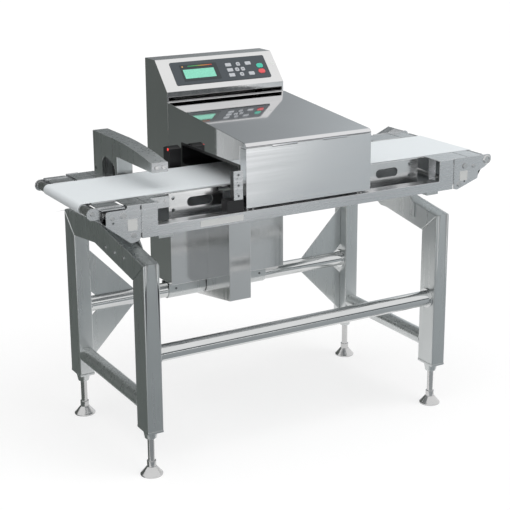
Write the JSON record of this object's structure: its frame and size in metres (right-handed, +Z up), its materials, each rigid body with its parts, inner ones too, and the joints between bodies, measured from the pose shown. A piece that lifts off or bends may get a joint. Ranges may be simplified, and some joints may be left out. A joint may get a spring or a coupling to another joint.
{
  "type": "conveyor metal detector",
  "caption": "Conveyor metal detector: a flat belt through a stainless detector head with a rear control cabinet, on a tube stand.",
  "frame": {"origin": "middle of the machine's bounding box, on the floor", "axes": "+X along the belt towards the outfeed end, +Y from the operator's side to the cabinet, +Z up"},
  "size_m": [1.35, 0.6676, 1.105],
  "materials": {
    "satin_steel": "satin",
    "polished_steel": "polished",
    "machined_steel": "satin",
    "white_belt": "matte",
    "black_plastic": "matte",
    "liner_plastic": "satin",
    "drive_rubber": "matte",
    "motor_paint": "satin",
    "panel_slate": "satin",
    "display_glass": "gloss",
    "grey_key": "satin",
    "green_key": "satin",
    "red_key": "satin",
    "coil_resin": "satin",
    "board_green": "satin"
  },
  "bodies": {
    "frame": {"left_leg_frame": "satin_steel", "right_leg_frame": "satin_steel", "stretchers": "satin_steel", "conveyor_supports": "satin_steel", "front_rail": "satin_steel", "rear_rail": "satin_steel", "front_left_end_plate": "satin_steel", "rear_left_end_plate": "satin_steel", "front_right_end_plate": "satin_steel", "rear_right_end_plate": "satin_steel", "left_slider_bed": "satin_steel", "right_slider_bed": "satin_steel", "edge_covers": "satin_steel", "bed_brackets": "satin_steel", "drive_guard": "satin_steel", "head_pedestal": "satin_steel", "cabinet_rear_cover": "satin_steel", "tube_saddles": "satin_steel", "arm_housing": "satin_steel", "arm_end_plate": "satin_steel", "head_shell": "polished_steel", "cabinet_shell": "polished_steel", "return_shafts": "machined_steel", "nose_bearings": "machined_steel", "fasteners": "machined_steel", "conveyor_belt": "white_belt", "drive_belt": "drive_rubber", "gear_motor": "motor_paint", "tunnel_liner": "liner_plastic", "search_coils": "coil_resin", "electronics": "board_green", "panel_plate": "panel_slate", "display_window": "display_glass", "front_photo_sensor": "black_plastic", "rear_photo_sensor": "black_plastic", "arm_clamp_post": "black_plastic"},
    "front_left_foot": {"front_left_foot": "machined_steel"},
    "front_right_foot": {"front_right_foot": "machined_steel"},
    "rear_left_foot": {"rear_left_foot": "machined_steel"},
    "rear_right_foot": {"rear_right_foot": "machined_steel"},
    "takeup": {"takeup_brackets": "satin_steel", "tail_shaft": "machined_steel"},
    "tail_roller": {"tail_roller": "machined_steel"},
    "nose_drive": {"nose_roller": "machined_steel", "nose_pulley": "machined_steel"},
    "motor_pulley": {"motor_pulley": "machined_steel"},
    "return_roller_left": {"return_roller_left": "machined_steel"},
    "return_roller_right": {"return_roller_right": "machined_steel"},
    "front_cover": {"head_front_cover": "satin_steel"},
    "key_menu": {"key_menu": "grey_key"},
    "key_set": {"key_set": "grey_key"},
    "key_enter": {"key_enter": "grey_key"},
    "key_up": {"key_up": "grey_key"},
    "key_left": {"key_left": "grey_key"},
    "key_right": {"key_right": "grey_key"},
    "key_down": {"key_down": "grey_key"},
    "key_test": {"key_test": "grey_key"},
    "key_reset": {"key_reset": "grey_key"},
    "key_start": {"key_start": "green_key"},
    "key_stop": {"key_stop": "red_key"}
  },
  "joints": [
    {"name": "front_left_foot_slide", "type": "slide", "parent": "frame", "child": "front_left_foot", "axis": [0, 0, 1], "range_m": [-0.03, 0.05]},
    {"name": "front_right_foot_slide", "type": "slide", "parent": "frame", "child": "front_right_foot", "axis": [0, 0, 1], "range_m": [-0.03, 0.05]},
    {"name": "rear_left_foot_slide", "type": "slide", "parent": "frame", "child": "rear_left_foot", "axis": [0, 0, 1], "range_m": [-0.03, 0.05]},
    {"name": "rear_right_foot_slide", "type": "slide", "parent": "frame", "child": "rear_right_foot", "axis": [0, 0, 1], "range_m": [-0.03, 0.05]},
    {"name": "takeup_slide", "type": "slide", "parent": "frame", "child": "takeup", "axis": [1, 0, 0], "range_m": [0, 0.006]},
    {"name": "nose_spin", "type": "hinge", "parent": "frame", "child": "nose_drive", "pos_m": [0.658, -0.11175, 0.8005], "axis": [0, 1, 0], "continuous": true},
    {"name": "tail_spin", "type": "hinge", "parent": "takeup", "child": "tail_roller", "pos_m": [-0.658, -0.11175, 0.8005], "axis": [0, 1, 0], "continuous": true},
    {"name": "motor_spin", "type": "hinge", "parent": "frame", "child": "motor_pulley", "pos_m": [0.575, 0.12625, 0.713], "axis": [0, 1, 0], "continuous": true},
    {"name": "return_left_spin", "type": "hinge", "parent": "frame", "child": "return_roller_left", "pos_m": [-0.552, -0.11175, 0.734], "axis": [0, 1, 0], "continuous": true},
    {"name": "return_right_spin", "type": "hinge", "parent": "frame", "child": "return_roller_right", "pos_m": [0.552, -0.11175, 0.734], "axis": [0, 1, 0], "continuous": true},
    {"name": "front_cover_hinge", "type": "hinge", "parent": "frame", "child": "front_cover", "pos_m": [0.0125, -0.31765, 0.92765], "axis": [-1, 0, 0], "range_deg": [0, 100]},
    {"name": "key_menu_press", "type": "slide", "parent": "frame", "child": "key_menu", "axis": [0, 0.7314, -0.682], "range_m": [0, 0.0008], "stiffness_N_per_m": 800, "springref_m": -0.0006},
    {"name": "key_set_press", "type": "slide", "parent": "frame", "child": "key_set", "axis": [0, 0.7314, -0.682], "range_m": [0, 0.0008], "stiffness_N_per_m": 800, "springref_m": -0.0006},
    {"name": "key_enter_press", "type": "slide", "parent": "frame", "child": "key_enter", "axis": [0, 0.7314, -0.682], "range_m": [0, 0.0008], "stiffness_N_per_m": 800, "springref_m": -0.0006},
    {"name": "key_up_press", "type": "slide", "parent": "frame", "child": "key_up", "axis": [0, 0.7314, -0.682], "range_m": [0, 0.0008], "stiffness_N_per_m": 800, "springref_m": -0.0006},
    {"name": "key_left_press", "type": "slide", "parent": "frame", "child": "key_left", "axis": [0, 0.7314, -0.682], "range_m": [0, 0.0008], "stiffness_N_per_m": 800, "springref_m": -0.0006},
    {"name": "key_right_press", "type": "slide", "parent": "frame", "child": "key_right", "axis": [0, 0.7314, -0.682], "range_m": [0, 0.0008], "stiffness_N_per_m": 800, "springref_m": -0.0006},
    {"name": "key_down_press", "type": "slide", "parent": "frame", "child": "key_down", "axis": [0, 0.7314, -0.682], "range_m": [0, 0.0008], "stiffness_N_per_m": 800, "springref_m": -0.0006},
    {"name": "key_test_press", "type": "slide", "parent": "frame", "child": "key_test", "axis": [0, 0.7314, -0.682], "range_m": [0, 0.0008], "stiffness_N_per_m": 800, "springref_m": -0.0006},
    {"name": "key_reset_press", "type": "slide", "parent": "frame", "child": "key_reset", "axis": [0, 0.7314, -0.682], "range_m": [0, 0.0008], "stiffness_N_per_m": 800, "springref_m": -0.0006},
    {"name": "key_start_press", "type": "slide", "parent": "frame", "child": "key_start", "axis": [0, 0.7314, -0.682], "range_m": [0, 0.0008], "stiffness_N_per_m": 800, "springref_m": -0.0006},
    {"name": "key_stop_press", "type": "slide", "parent": "frame", "child": "key_stop", "axis": [0, 0.7314, -0.682], "range_m": [0, 0.0008], "stiffness_N_per_m": 800, "springref_m": -0.0006}
  ],
  "couplings": [
    {"joint": "tail_spin", "follows": "nose_spin", "ratio": 1},
    {"joint": "return_left_spin", "follows": "nose_spin", "ratio": 1.2},
    {"joint": "return_right_spin", "follows": "nose_spin", "ratio": 1.2},
    {"joint": "motor_spin", "follows": "nose_spin", "ratio": 0.6875}
  ]
}
